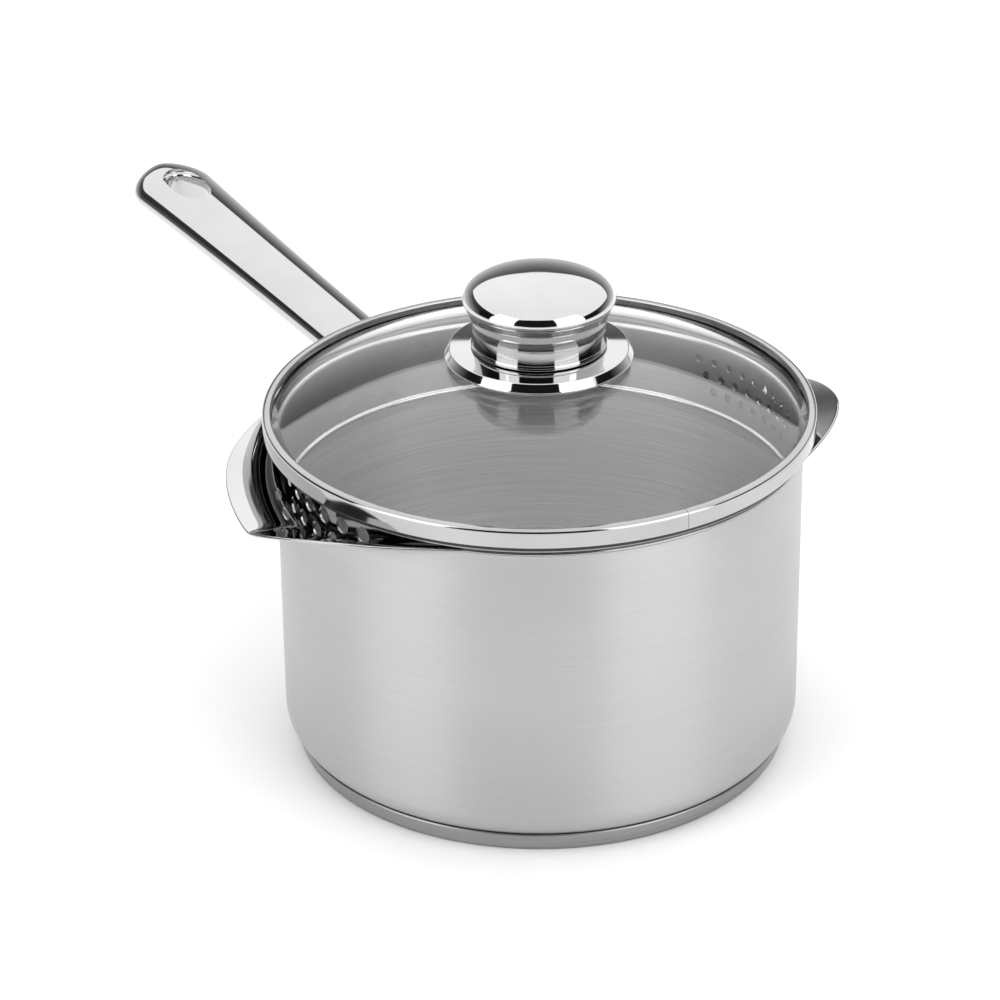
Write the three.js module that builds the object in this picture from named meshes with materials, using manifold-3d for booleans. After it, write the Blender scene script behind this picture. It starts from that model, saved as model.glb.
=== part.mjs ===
// Stainless saucepan with two pouring spouts, a long handle and a straining glass lid.
// Millimetres, +Z up. The origin is the centre of the base's underside, the handle runs
// along -X, and the two spouts point along -Y and +Y.
import * as THREE from "three";
import { mergeVertices } from "three/addons/utils/BufferGeometryUtils.js";
import Module from "manifold-3d";

const wasm = await Module();
wasm.setup();

// ---- driving dimensions ----
const GAP = 0.3; // clearance left between pieces that touch

const BODY_R = 91.6; // outside of the pan's wall
const WALL = 1.0; // wall and floor sheet
const CORNER_R = 10; // outside radius between wall and floor
const UNDERSIDE_Z = 4.8; // underside of the pan's own floor
const RIM_Z = 117.5; // top of the pan's rim
const RIM_REACH = 1.4; // how far the plain rim flares out

const SPOUT_AZ = [270, 90];
const SPOUT_REACH = 24; // how far a spout's tip stands out from the wall
const BLUNT_REACH = 17.5; // where the +Y spout's tip is blunted
const BLUNT_SOFTNESS = 2.5;
const SPOUT_DIP = 7.5; // how far the tip lies below the rim
const SPOUT_DIP_SIDE = 22; // degrees from the tip to where the dip ends
const SPOUT_SIDE_BACK = 50; // degrees from tip to plain rim, on the fuller side
const SPOUT_SIDE_FRONT = 42; // the same, on the straighter side
const LIP_SLOPE_SIDE = 26; // slope of the spout's lip, degrees
const LIP_SLOPE_TIP = 11;
const BEND_TIGHT = 0.1; // how tightly the wall bends into the lip, 0 to 1

const BASE_R = 87.2; // base cap at the floor
const BASE_TOP_R = 88.6; // base cap at its upper edge
const BASE_TOP_Z = 7.0;
const CAP_SHEET = 0.7;

const HANDLE_START_X = -95.6;
const HANDLE_END_X = -288;
const HANDLE_ROOT_Z = 98.5; // centre line where the handle meets its bracket
const HANDLE_RISE = 0.081; // rise per millimetre of length
const HANDLE_ROOT_W = 26;
const HANDLE_END_W = 36;
const HANDLE_ROOT_T = 12.4; // thickness at the bracket
const HANDLE_END_T = 17; // thickness at the free end
const ROOT_POWER = 0.9; // section at the bracket: 1 is an ellipse, less is squarer
const END_POWER = 1.12; // section at the free end
const HANG_HOLE_X = -260;
const HANG_HOLE_LENGTH = 26;
const HANG_HOLE_WIDTH = 14.5;
const PLATE_W = 38; // bracket plate on the wall
const PLATE_H = 30;
const PLATE_T = 1.8;
const PLATE_POWER = 0.75; // the plate is squarer than the handle

const LID_R = 96; // outside of the lid's steel band
const BAND_BOTTOM_Z = 120.8;
const BAND_TOP_Z = 127.2;
const BAND_INNER_R = 92.9;
const BAND_SHEET = 0.8;
const SKIRT_R = 89.3; // outside of the perforated skirt
const SKIRT_SHEET = 0.7;
const SKIRT_BOTTOM_Z = 92.3;
const BEAD = 0.9; // radius of the bead round the skirt's lower edge
const GLASS_T = 4;
const GLASS_EDGE_R = 93.4;
const GLASS_TOP_Z = 146.6; // crown of the glass, under the knob
const GLASS_DOME_R = 206; // radius of the dome
const GLASS_HOLE_R = 4.5;

const FLANGE_R = 32.6;
const FLANGE_BOTTOM_Z = 145.0;
const FLANGE_TOP_Z = 149.6;
const BEVEL_REACH = 1.7; // how far the flange's sloping edge stands out
const LIP_R = 23.4; // lower lip of the knob
const LIP_Z = 150.4;
const WAIST_R = 23.1;
const WAIST_Z = 159;
const KNOB_R = 26.3; // widest part of the knob's crown
const KNOB_EDGE_Z = 166.6;
const KNOB_TOP_Z = 175.8;
const SHELL_T = 1.0;
const SEAL_T = 0.8; // soft ring between the knob's flange and the glass
const UNDER_SEAL_Z = 141.0; // underside of the soft bush below the glass
const BUSH_R = 4.4; // threaded bush in the knob
const BUSH_TOP_Z = 167;
const BOLT_R = 2.0;
const BOLT_HOLE_R = 2.6;

const COARSE_HOLES = { az: 270, r: 3.0, pitch: 6.5, rows: [111, 103.3], first: 6 };
const FINE_HOLES = { az: 88, r: 1.5, pitch: 4.7, rows: [112, 106.5, 101], first: 9 };

const ROUND_SEGMENTS = 48;
const KNOB_SEGMENTS = 32;
const SMALL_SEGMENTS = 16;
const HANDLE_SIDES = 16;

// ---- helpers ----
const rad = THREE.MathUtils.degToRad;

// A closed solid's geometry with shared corners, no empty triangles and faces pointing out.
function tidySolid(geometry) {
  const bare = geometry.clone();
  bare.deleteAttribute("normal");
  bare.deleteAttribute("uv");
  const merged = mergeVertices(bare, 1e-4);
  const old = merged.index.array;
  const kept = [];
  for (let i = 0; i < old.length; i += 3) {
    const [a, b, c] = [old[i], old[i + 1], old[i + 2]];
    if (a !== b && b !== c && a !== c) kept.push(a, b, c);
  }
  const p = new THREE.Vector3();
  const q = new THREE.Vector3();
  const r = new THREE.Vector3();
  const position = merged.getAttribute("position");
  let volume = 0;
  for (let i = 0; i < kept.length; i += 3) {
    p.fromBufferAttribute(position, kept[i]);
    q.fromBufferAttribute(position, kept[i + 1]);
    r.fromBufferAttribute(position, kept[i + 2]);
    volume += p.dot(q.cross(r));
  }
  if (volume < 0) {
    for (let i = 0; i < kept.length; i += 3) {
      [kept[i + 1], kept[i + 2]] = [kept[i + 2], kept[i + 1]];
    }
  }
  merged.setIndex(kept);
  return merged;
}

function toManifold(geometry) {
  const tidy = tidySolid(geometry);
  return new wasm.Manifold(
    new wasm.Mesh({
      numProp: 3,
      vertProperties: new Float32Array(tidy.getAttribute("position").array),
      triVerts: new Uint32Array(tidy.index.array),
    }),
  );
}

function fromManifold(solid) {
  const mesh = solid.getMesh();
  const geometry = new THREE.BufferGeometry();
  geometry.setAttribute("position", new THREE.BufferAttribute(mesh.vertProperties, 3));
  geometry.setIndex(new THREE.BufferAttribute(mesh.triVerts, 1));
  return geometry;
}

// A profile of [radius, height] points turned about Z.
function turned(profile, segments) {
  const points = profile.map(([r, z]) => new THREE.Vector2(Math.max(r, 0), z));
  const geometry = new THREE.LatheGeometry(points, segments);
  geometry.rotateX(Math.PI / 2);
  return tidySolid(geometry);
}

// A ring-shaped piece: its profile closes on itself.
const ring = (profile, segments) => turned([...profile, profile[0]], segments);

// Points on an arc, from one angle to another in degrees.
function arc(centreR, centreZ, radius, from, to, steps) {
  return Array.from({ length: steps + 1 }, (_, i) => {
    const a = rad(from + ((to - from) * i) / steps);
    return [centreR + radius * Math.cos(a), centreZ + radius * Math.sin(a)];
  });
}

// A solid skinned over closed rings of points with the same count, capped at both ends.
function skinned(rings) {
  const count = rings[0].length;
  const centre = (points) =>
    points.reduce((sum, p) => sum.add(p), new THREE.Vector3()).divideScalar(points.length);
  const vertices = rings.flat();
  const first = vertices.length;
  vertices.push(centre(rings[0]), centre(rings[rings.length - 1]));
  const index = [];
  for (let j = 0; j < count; j += 1) {
    const k = (j + 1) % count;
    for (let i = 0; i + 1 < rings.length; i += 1) {
      const [a, b] = [i * count + j, i * count + k];
      const [c, d] = [a + count, b + count];
      index.push(a, b, d, a, d, c);
    }
    const last = (rings.length - 1) * count;
    index.push(first, k, j, first + 1, last + j, last + k);
  }
  const geometry = new THREE.BufferGeometry().setFromPoints(vertices);
  geometry.setIndex(index);
  return tidySolid(geometry);
}

const steel = (color, roughness) =>
  new THREE.MeshStandardMaterial({ color, roughness, metalness: 1 });
const brushedSteel = steel(0xc2c2c2, 0.38);
const polishedSteel = steel(0xd6d6d8, 0.08);
const satinSteel = steel(0xb4b4b4, 0.45);
const aluminium = steel(0xb9bcc0, 0.5);
const brass = steel(0xb08d57, 0.35);
const phenolic = new THREE.MeshStandardMaterial({ color: 0x1c1c1e, roughness: 0.6 });
const silicone = new THREE.MeshStandardMaterial({ color: 0x3a3b3d, roughness: 0.7 });
const clearGlass = new THREE.MeshStandardMaterial({
  color: 0xdfe6e4,
  roughness: 0.03,
  transparent: true,
  opacity: 0.3,
});

function part(name, geometry, material) {
  const mesh = new THREE.Mesh(geometry, material);
  mesh.name = name;
  return mesh;
}

// ---- pan body: floor, corner, wall, flared rim and the two spouts ----

// Signed degrees from the nearest spout's axis to an azimuth.
function fromSpout(az) {
  const turns = SPOUT_AZ.map((s) => ((((az - s) % 360) + 540) % 360) - 180);
  return Math.abs(turns[0]) < Math.abs(turns[1]) ? turns[0] : turns[1];
}

// How far the rim reaches out from the wall at an azimuth.
function rimReach(az) {
  const turn = fromSpout(az);
  const t = Math.abs(turn) / (turn < 0 ? SPOUT_SIDE_BACK : SPOUT_SIDE_FRONT);
  if (t >= 1) return RIM_REACH;
  const rounded = Math.sqrt(t * t + 0.02) - Math.sqrt(0.02);
  const fall = Math.max(0, 1 - rounded * 1.14);
  const eased = fall * fall * (3 - 2 * fall);
  const reach = RIM_REACH + (SPOUT_REACH - RIM_REACH) * (0.55 * fall + 0.45 * eased);
  if (az % 360 >= 180) return reach;
  const over = reach - BLUNT_REACH;
  return Math.max(RIM_REACH, BLUNT_REACH + (over - Math.hypot(over, BLUNT_SOFTNESS)) / 2);
}

// 1 at a spout's tip, falling smoothly to 0 at its shoulders.
const nearTip = (az) => (1 - Math.min(1, Math.abs(fromSpout(az)) / SPOUT_DIP_SIDE)) ** 2;

const rimHeight = (az) => RIM_Z - SPOUT_DIP * nearTip(az);

// Inside of the flare at an azimuth, from the plain wall (t = 0) to the rim (t = 1).
function flareCurve(az) {
  const reach = rimReach(az);
  const rimZ = rimHeight(az);
  const slope = LIP_SLOPE_SIDE + (LIP_SLOPE_TIP - LIP_SLOPE_SIDE) * nearTip(az);
  const bendZ = rimZ - 0.65 * reach * Math.tan(rad(slope));
  const steep = 3 + 0.45 * reach;
  const wallR = BODY_R - WALL;
  return new THREE.CubicBezierCurve(
    new THREE.Vector2(wallR, bendZ - steep),
    new THREE.Vector2(wallR, bendZ - BEND_TIGHT * steep),
    new THREE.Vector2(wallR + BEND_TIGHT * (reach + WALL), bendZ),
    new THREE.Vector2(BODY_R + reach, rimZ),
  );
}

// One column of the pan: outside from the floor's middle to the rim, then back inside.
function panColumn(az) {
  const curve = flareCurve(az);
  const outside = [
    [30, UNDERSIDE_Z],
    ...arc(BODY_R - CORNER_R, UNDERSIDE_Z + CORNER_R, CORNER_R, -90, 0, 4),
  ];
  const inside = [
    [30, UNDERSIDE_Z + WALL],
    ...arc(BODY_R - CORNER_R, UNDERSIDE_Z + CORNER_R, CORNER_R - WALL, -90, 0, 4),
  ];
  for (let i = 0; i <= 6; i += 1) {
    const t = i / 6;
    const p = curve.getPoint(t);
    const tangent = curve.getTangent(t);
    outside.push([p.x + WALL * tangent.y, p.y - WALL * tangent.x]);
    inside.push([p.x, p.y]);
  }
  return [...outside, ...inside.reverse()];
}

function makePanBody() {
  const azimuths = [];
  for (const spout of SPOUT_AZ) {
    for (let turn = -50; turn < 45; turn += 5) azimuths.push(spout + turn);
    for (let turn = 49; turn < 130; turn += 9) azimuths.push(spout + turn);
  }
  const columns = azimuths.map((az) => ({ az: rad(az), points: panColumn(az) }));
  const rings = columns[0].points.map((_, i) =>
    columns.map(({ az, points }) => {
      const [r, z] = points[i];
      return new THREE.Vector3(r * Math.cos(az), r * Math.sin(az), z);
    }),
  );
  return part("pan_body", skinned(rings), brushedSteel);
}

// ---- base: aluminium disc and the steel cap pressed over it ----
function makeBaseCore() {
  const r = BASE_R - CAP_SHEET - GAP - 0.3;
  const top = UNDERSIDE_Z - GAP;
  const floor = CAP_SHEET + GAP;
  const profile = [[0, floor], [r - 0.5, floor], [r, floor + 0.5], [r, 5.3]];
  const edge = arc(BODY_R - CORNER_R, UNDERSIDE_Z + CORNER_R, CORNER_R + GAP, -62, -90, 3);
  return part("base_core", turned([...profile, ...edge, [0, top]], ROUND_SEGMENTS), aluminium);
}

function makeBaseCap() {
  const profile = [
    [0, 0],
    [BASE_R - 1.2, 0],
    [BASE_R - 0.2, 0.4],
    [BASE_R, 1.2],
    [BASE_TOP_R, BASE_TOP_Z - 0.8],
    [BASE_TOP_R - 0.3, BASE_TOP_Z - 0.2],
    [BASE_TOP_R - 0.7, BASE_TOP_Z - 0.6],
    [BASE_R - CAP_SHEET, 1.4],
    [BASE_R - 1.5, CAP_SHEET],
    [0, CAP_SHEET],
  ];
  return part("base_cap", turned(profile, ROUND_SEGMENTS), satinSteel);
}

// ---- handle and the bracket that joins it to the wall ----

// Points of a rounded box section, as [across, up] from its centre.
function superellipse(width, height, power) {
  return Array.from({ length: HANDLE_SIDES }, (_, i) => {
    const a = (2 * Math.PI * i) / HANDLE_SIDES;
    const [c, s] = [Math.cos(a), Math.sin(a)];
    const across = (Math.sign(c) * Math.abs(c) ** power * width) / 2;
    return [across, (Math.sign(s) * Math.abs(s) ** power * height) / 2];
  });
}

const handleZ = (x) => HANDLE_ROOT_Z + HANDLE_RISE * (HANDLE_START_X - x);

function handleRing(x) {
  const along = (HANDLE_START_X - x) / (HANDLE_START_X - HANDLE_END_X);
  const toEnd = x - HANDLE_END_X;
  const endR = HANDLE_END_W / 2;
  const round = toEnd >= endR ? 1 : Math.sqrt(Math.max(1 - (1 - toEnd / endR) ** 2, 0.012));
  const width = (HANDLE_ROOT_W + (HANDLE_END_W - HANDLE_ROOT_W) * along ** 2) * round;
  const fullT = HANDLE_ROOT_T + (HANDLE_END_T - HANDLE_ROOT_T) * along ** 2;
  const thick = fullT * (0.5 + 0.5 * round);
  const power = ROOT_POWER + (END_POWER - ROOT_POWER) * along ** 2;
  return superellipse(width, thick, power).map(
    ([y, dz]) => new THREE.Vector3(x, y, handleZ(x) + dz),
  );
}

function makeHandle() {
  const stations = [];
  for (let i = 0; i <= 8; i += 1) {
    stations.push(HANDLE_START_X + ((HANDLE_END_X + HANDLE_END_W / 2 - HANDLE_START_X) * i) / 8);
  }
  for (let i = 1; i <= 6; i += 1) {
    const a = (Math.PI / 2) * (i / 6);
    stations.push(HANDLE_END_X + (HANDLE_END_W / 2) * (1 - Math.sin(a)));
  }
  const blank = toManifold(skinned(stations.map(handleRing)));
  const slot = new THREE.Shape();
  slot.absellipse(0, 0, HANG_HOLE_LENGTH / 2, HANG_HOLE_WIDTH / 2, 0, 2 * Math.PI, false, 0);
  const cutter = new THREE.ExtrudeGeometry(slot, {
    depth: 40,
    bevelEnabled: false,
    curveSegments: 10,
  });
  cutter.translate(HANG_HOLE_X, 0, handleZ(HANG_HOLE_X) - 20);
  return part("handle", fromManifold(blank.subtract(toManifold(cutter))), polishedSteel);
}

// A plate that follows the wall and rises to a short boss, where the handle is welded on.
function makeHandleBracket() {
  const inner = BODY_R + GAP;
  const plateRing = (scale, proud) =>
    superellipse(PLATE_W * scale, PLATE_H * scale, PLATE_POWER).map(([y, dz]) => {
      const x = -Math.sqrt(inner ** 2 - y ** 2) - proud;
      return new THREE.Vector3(x, y, HANDLE_ROOT_Z + dz);
    });
  const bossRing = (scale, x) =>
    superellipse(HANDLE_ROOT_W * scale, HANDLE_ROOT_T * scale, ROOT_POWER).map(
      ([y, dz]) => new THREE.Vector3(x, y, HANDLE_ROOT_Z + dz),
    );
  const rings = [
    plateRing(0.3, 0),
    plateRing(0.65, 0),
    plateRing(1, 0),
    plateRing(1, PLATE_T / 2),
    plateRing(0.95, PLATE_T),
    bossRing(1.16, -inner - PLATE_T - 0.1),
    bossRing(0.98, HANDLE_START_X + GAP),
  ];
  return part("handle_bracket", skinned(rings), polishedSteel);
}

// ---- lid: glass, steel band, seal and the perforated skirt ----

// Height of the glass's upper face at a radius.
const glassTop = (r) => GLASS_TOP_Z - GLASS_DOME_R + Math.sqrt(GLASS_DOME_R ** 2 - r ** 2);

function makeLidGlass() {
  const radii = [GLASS_HOLE_R, 20, 40, 60, 78, GLASS_EDGE_R - 1];
  const top = radii.map((r) => [r, glassTop(r)]);
  const under = radii.map((r) => [r, glassTop(r) - GLASS_T]).reverse();
  const edgeZ = glassTop(GLASS_EDGE_R);
  const edge = [
    [GLASS_EDGE_R, edgeZ - 1],
    [GLASS_EDGE_R, edgeZ - 3],
  ];
  return part("lid_glass", ring([...top, ...edge, ...under], ROUND_SEGMENTS), clearGlass);
}

// A channel-shaped band wrapped round the glass's edge.
function makeLidRim() {
  const lip = glassTop(BAND_INNER_R) + GAP;
  const profile = [
    [LID_R, BAND_BOTTOM_Z],
    [LID_R, BAND_TOP_Z - 1.1],
    [LID_R - 0.4, BAND_TOP_Z - 0.3],
    [LID_R - 1.2, BAND_TOP_Z],
    [BAND_INNER_R + 0.4, BAND_TOP_Z],
    [BAND_INNER_R, BAND_TOP_Z - 0.4],
    [BAND_INNER_R, lip],
    [BAND_INNER_R + BAND_SHEET, lip],
    [BAND_INNER_R + BAND_SHEET, BAND_TOP_Z - BAND_SHEET],
    [LID_R - BAND_SHEET - 0.4, BAND_TOP_Z - BAND_SHEET],
    [LID_R - BAND_SHEET, BAND_TOP_Z - BAND_SHEET - 0.5],
    [LID_R - BAND_SHEET, BAND_BOTTOM_Z],
  ];
  return part("lid_rim", ring(profile, ROUND_SEGMENTS), polishedSteel);
}

// A soft ring under the glass's edge.
function makeRimGasket() {
  const under = (r) => glassTop(r) - GLASS_T - GAP;
  const floor = RIM_Z + 2 * GAP + SKIRT_SHEET + GAP;
  const profile = [
    [90.8, floor],
    [94.7, floor],
    [94.7, under(92) + 0.4],
    [93.8, under(92) + 0.4],
    [93.5, under(93.5)],
    [90.8, under(90.8)],
  ];
  return part("rim_gasket", ring(profile, ROUND_SEGMENTS), silicone);
}

// The cylinder of each strainer hole, pointing out along its azimuth.
function holeCutters({ az, r, pitch, rows, first }) {
  return rows.flatMap((z, row) =>
    Array.from({ length: first - row }, (_, i) => {
      const turn = rad(az + pitch * (i - (first - row - 1) / 2));
      const cutter = new THREE.CylinderGeometry(r, r, 6, 6);
      cutter.rotateZ(Math.PI / 2);
      cutter.translate(SKIRT_R, 0, z);
      cutter.rotateZ(turn);
      return toManifold(cutter);
    }),
  );
}

function makeStrainerSkirt() {
  const seat = RIM_Z + 2 * GAP;
  const inner = SKIRT_R - SKIRT_SHEET;
  const profile = [
    [93.6, seat],
    [93.6, seat + SKIRT_SHEET],
    ...arc(inner + 1.6, seat + SKIRT_SHEET - 1.6, 1.6, 90, 180, 3),
    [inner, SKIRT_BOTTOM_Z + 2 * BEAD + 0.2],
    ...arc(SKIRT_R - BEAD, SKIRT_BOTTOM_Z + BEAD, BEAD, 125, 360, 4),
    ...arc(inner + 1.6, seat + SKIRT_SHEET - 1.6, 0.9, 180, 90, 2),
  ];
  let skirt = toManifold(ring(profile, ROUND_SEGMENTS));
  for (const cutter of [...holeCutters(COARSE_HOLES), ...holeCutters(FINE_HOLES)]) {
    skirt = skirt.subtract(cutter);
  }
  return part("strainer_skirt", fromManifold(skirt), polishedSteel);
}

// ---- knob ----
function makeKnobCap() {
  const crown = (r, edgeZ, topZ) => {
    const points = [];
    for (let i = 0; i <= 5; i += 1) {
      const a = (Math.PI / 2) * (i / 5);
      points.push([r * Math.cos(a) ** 0.8, edgeZ + (topZ - edgeZ) * Math.sin(a) ** 0.9]);
    }
    return points;
  };
  const outside = crown(KNOB_R, KNOB_EDGE_Z, KNOB_TOP_Z);
  const inside = crown(KNOB_R - SHELL_T, KNOB_EDGE_Z + 0.4, KNOB_TOP_Z - SHELL_T).reverse();
  const lowerEdge = [
    [KNOB_R - SHELL_T, KNOB_EDGE_Z - 0.4],
    [KNOB_R - 0.3, KNOB_EDGE_Z - 0.4],
  ];
  return part("knob_cap", turned([...inside, ...lowerEdge, ...outside], KNOB_SEGMENTS), polishedSteel);
}

function makeKnobSleeve() {
  const top = KNOB_EDGE_Z - 0.4 - GAP;
  const profile = [
    [LIP_R - SHELL_T - 1.2, LIP_Z - 0.5],
    [LIP_R - 0.4, LIP_Z - 0.5],
    [LIP_R, LIP_Z],
    [LIP_R, LIP_Z + 0.5],
    [WAIST_R, LIP_Z + 1.2],
    [WAIST_R, WAIST_Z - 2.5],
    [WAIST_R + 0.5, WAIST_Z + 0.8],
    [KNOB_R - 0.7, top - 0.4],
    [KNOB_R - 1.1, top],
    [KNOB_R - 2.2, top],
    [WAIST_R - SHELL_T, WAIST_Z + 0.4],
    [LIP_R - SHELL_T - 1.2, LIP_Z + 2],
  ];
  return part("knob_sleeve", ring(profile, KNOB_SEGMENTS), polishedSteel);
}

function makeKnobCore() {
  const bottom = FLANGE_TOP_Z + GAP;
  const profile = [
    [0, 172.6],
    [16, 171.6],
    [22.6, KNOB_EDGE_Z + 1.8],
    [22.6, KNOB_EDGE_Z - 0.3],
    [20.2, 158.5],
    [20.0, bottom],
    [BUSH_R + GAP, bottom],
    [BUSH_R + GAP, BUSH_TOP_Z + GAP],
    [0, BUSH_TOP_Z + GAP],
  ];
  return part("knob_core", turned(profile, KNOB_SEGMENTS), phenolic);
}

// A round piece with a straight hole: its outline is given outside the hole only.
const washer = (holeR, outline) => {
  const [bottom, top] = [outline[0][1], outline[outline.length - 1][1]];
  return ring([[holeR, bottom], ...outline, [holeR, top]], SMALL_SEGMENTS);
};

function makeKnobBush() {
  const bottom = FLANGE_TOP_Z + GAP + 0.4;
  const outline = [[BUSH_R, bottom], [BUSH_R, BUSH_TOP_Z]];
  return part("knob_bush", washer(BOLT_HOLE_R, outline), brass);
}

function makeKnobFlange() {
  const under = (r) => glassTop(r) + GAP + SEAL_T + GAP;
  const profile = [
    [BOLT_HOLE_R, under(BOLT_HOLE_R)],
    [16, under(16)],
    [FLANGE_R - 1.6, under(FLANGE_R - 1.6)],
    [FLANGE_R - 0.7, FLANGE_BOTTOM_Z + 0.1],
    [FLANGE_R, FLANGE_BOTTOM_Z + 0.9],
    [FLANGE_R - 0.1, FLANGE_BOTTOM_Z + 1.4],
    [FLANGE_R - BEVEL_REACH, FLANGE_TOP_Z - 0.8],
    [FLANGE_R - BEVEL_REACH - 0.5, FLANGE_TOP_Z - 0.5],
    [24, FLANGE_TOP_Z - 0.1],
    [BOLT_HOLE_R, FLANGE_TOP_Z],
  ];
  return part("knob_flange", ring(profile, KNOB_SEGMENTS), polishedSteel);
}

function makeFlangeSeal() {
  const bottom = (r) => glassTop(r) + GAP;
  const radii = [GLASS_HOLE_R + 1, 16, FLANGE_R - 1.8];
  const under = radii.map((r) => [r, bottom(r)]);
  const top = radii.map((r) => [r, bottom(r) + SEAL_T]).reverse();
  return part("flange_seal", ring([...under, ...top], KNOB_SEGMENTS), silicone);
}

function makeGlassBush() {
  const shoulder = glassTop(GLASS_HOLE_R) - GLASS_T - 2 * GAP;
  const neck = GLASS_HOLE_R - GAP;
  const outline = [
    [11, UNDER_SEAL_Z],
    [11, glassTop(11) - GLASS_T - GAP],
    [neck, shoulder + 0.2],
    [neck, glassTop(0) - 0.4],
  ];
  return part("glass_bush", washer(BOLT_HOLE_R, outline), silicone);
}

function makeKnobWasher() {
  const top = UNDER_SEAL_Z - GAP;
  return part("knob_washer", washer(BOLT_HOLE_R, [[9, top - 1], [9, top]]), satinSteel);
}

function makeLockWasher() {
  const top = UNDER_SEAL_Z - 1 - 2 * GAP;
  return part("lock_washer", washer(BOLT_HOLE_R, [[4.1, top - 0.9], [4.1, top]]), satinSteel);
}

// A pan-head screw with a cross recess, up through the glass into the knob's bush.
function makeKnobScrew() {
  const seat = UNDER_SEAL_Z - 1.9 - 3 * GAP;
  const profile = [
    [0, seat - 2.6],
    [2.6, seat - 2.5],
    [4.0, seat - 1.4],
    [4.2, seat - 0.4],
    [4.2, seat],
    [BOLT_R, seat],
    [BOLT_R, 162],
    [BOLT_R - 0.5, 162.6],
    [0, 162.6],
  ];
  let screw = toManifold(turned(profile, SMALL_SEGMENTS));
  for (const [width, depth] of [[4.4, 0.9], [0.9, 4.4]]) {
    const slot = new THREE.BoxGeometry(width, depth, 2.6);
    slot.translate(0, 0, seat - 2.6);
    screw = screw.subtract(toManifold(slot));
  }
  return part("knob_screw", fromManifold(screw), satinSteel);
}

// ---- assembly ----
const saucepan = new THREE.Group();

const pan = new THREE.Group();
pan.add(makePanBody(), makeBaseCore(), makeBaseCap(), makeHandle(), makeHandleBracket());

const lid = new THREE.Group();
lid.add(makeLidGlass(), makeLidRim(), makeRimGasket(), makeStrainerSkirt());

const knob = new THREE.Group();
knob.add(makeKnobCap(), makeKnobSleeve(), makeKnobCore(), makeKnobBush(), makeKnobFlange());
knob.add(makeFlangeSeal(), makeGlassBush(), makeKnobWasher(), makeLockWasher(), makeKnobScrew());

saucepan.add(pan, lid, knob);

export default saucepan;
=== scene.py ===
import math

import bmesh
import bpy
from mathutils import Matrix, Vector


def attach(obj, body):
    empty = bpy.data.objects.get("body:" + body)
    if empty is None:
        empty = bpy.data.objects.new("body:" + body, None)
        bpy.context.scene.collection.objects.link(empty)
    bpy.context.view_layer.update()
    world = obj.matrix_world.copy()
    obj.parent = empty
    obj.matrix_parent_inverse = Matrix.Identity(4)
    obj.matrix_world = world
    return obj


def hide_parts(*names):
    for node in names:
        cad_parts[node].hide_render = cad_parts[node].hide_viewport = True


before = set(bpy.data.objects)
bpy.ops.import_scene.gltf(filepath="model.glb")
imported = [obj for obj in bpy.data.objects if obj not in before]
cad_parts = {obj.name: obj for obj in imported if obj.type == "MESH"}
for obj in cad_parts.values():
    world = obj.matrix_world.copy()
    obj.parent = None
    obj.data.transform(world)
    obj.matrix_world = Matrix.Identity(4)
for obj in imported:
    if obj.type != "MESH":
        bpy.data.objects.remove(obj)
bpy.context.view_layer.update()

# ---- driving dimensions: millimetres and degrees, in the frame's own axes ----
# Names ending in POWER, SHARE, TIGHT, RISE, NORMAL or INSIDE are plain numbers.
MM = 0.001
GAP = 0.3
BODY_R = 91.6
BODY_LEVELS = (15.3, 45, 80)
WALL = 1.0
CORNER_R = 10.0
UNDERSIDE_Z = 4.8
RIM_Z = 117.5
RIM_REACH = 1.4
SPOUT_AZ = (270.0, 90.0)
SPOUT_REACH = 24.0
SPOUT_ROUNDING_SHARE = 0.02
SPOUT_NARROWING_SHARE = 1.14
SPOUT_STRAIGHT_SHARE = 0.55
BLUNT_REACH = 17.5
BLUNT_SOFTNESS = 2.5
SPOUT_DIP = 7.5
SPOUT_DIP_SIDE = 22.0
TIP_SOFTNESS = 1.2
SPOUT_SIDE_BACK = 50.0
SPOUT_SIDE_FRONT = 42.0
LIP_SLOPE_SIDE = 26.0
LIP_SLOPE_TIP = 11.0
BEND_TIGHT = 0.1
BEND_DEPTH = 3.0
BEND_REACH_SHARE = 0.45
LIP_SHARE = 0.65
FLAT_NORMAL = 0.75
UPWARD_NORMAL = 0.3
INWARD_NORMAL = 0.15
PAST_WALL = 0.25
FLARE_BOTTOM_Z = 80.0
FLOOR_MIDWAY_R = 40.0
BASE_R = 87.2
BASE_TOP_R = 88.6
BASE_TOP_Z = 7.0
CAP_SHEET = 0.7
HANDLE_START_X = -95.6
HANDLE_END_X = -288.0
HANDLE_ROOT_Z = 98.5
HANDLE_RISE = 0.081
HANDLE_ROOT_W = 26.0
HANDLE_END_W = 36.0
HANDLE_ROOT_T = 12.4
HANDLE_END_T = 17.0
ROOT_POWER = 0.9
END_POWER = 1.12
HANG_HOLE_X = -260.0
HANG_HOLE_LENGTH = 26.0
HANG_HOLE_WIDTH = 14.5
HOLE_BEVEL = 1.6
HOLE_UNDERCUT = 4.5
HOLE_LAND_TOP = 3.0
HOLE_LAND_BOTTOM = 5.0
CUT_PAST = 4.0
PLATE_W = 38.0
PLATE_H = 30.0
PLATE_T = 1.8
PLATE_POWER = 0.75
PLATE_EDGE = ((1, 0.2), (1, 0.8), (0.985, 1.3), (0.95, 1.65), (0.9, PLATE_T))
WELD_FILLET = ((1.22, 0.1), (1.10, 0.35), (1.03, 0.8), (1.0, 1.3))
LID_R = 96.0
BAND_BOTTOM_Z = 120.8
BAND_TOP_Z = 127.2
BAND_INNER_R = 92.9
BAND_SHEET = 0.8
SKIRT_R = 89.3
SKIRT_SHEET = 0.7
SKIRT_BOTTOM_Z = 92.3
SKIRT_BEND_R = 1.6
SKIRT_ROW = 1.2
BEAD = 0.9
SKIRT_INSIDE = -0.3
SEAT_R = 93.6
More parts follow.
